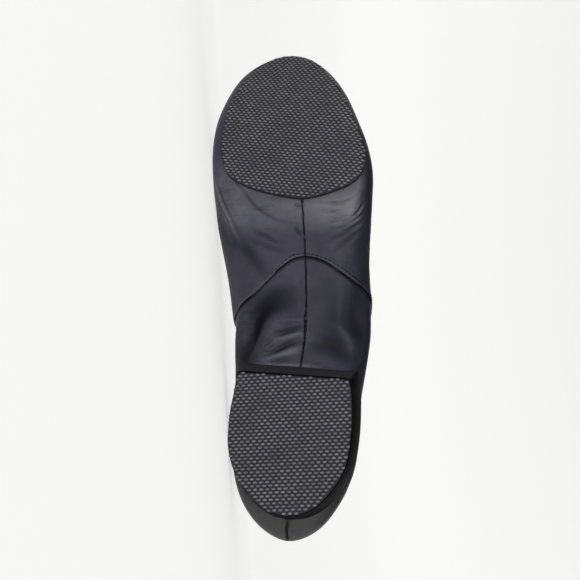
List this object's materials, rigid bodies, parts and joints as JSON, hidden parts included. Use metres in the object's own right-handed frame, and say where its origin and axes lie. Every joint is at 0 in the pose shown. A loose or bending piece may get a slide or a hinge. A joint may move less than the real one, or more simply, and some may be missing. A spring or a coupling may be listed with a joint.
{
  "type": "jazz shoe",
  "caption": "Left split-sole jazz shoe in black leather, with a rubber forefoot sole and a low heel, lying on its side.",
  "frame": {"origin": "centre of the bounding box in X and Y, on the floor the shoe lies on", "axes": "the heel is towards +X and the toe towards -X, the sole faces -Y, the outer side of the foot is up (+Z)"},
  "size_m": [0.2578, 0.0778, 0.0856],
  "materials": {
    "upper": "soft black leather, satin, lightly creased",
    "insole": "dark woven lining cloth, matt",
    "forefoot_sole": "black rubber with a fine raised lozenge tread",
    "heel_block": "smooth black foamed rubber",
    "heel_lift": "black rubber with a fine raised lozenge tread"
  },
  "bodies": {
    "root": {"upper": "upper", "insole": "insole", "forefoot_sole": "forefoot_sole", "heel_block": "heel_block", "heel_lift": "heel_lift"}
  },
  "joints": []
}
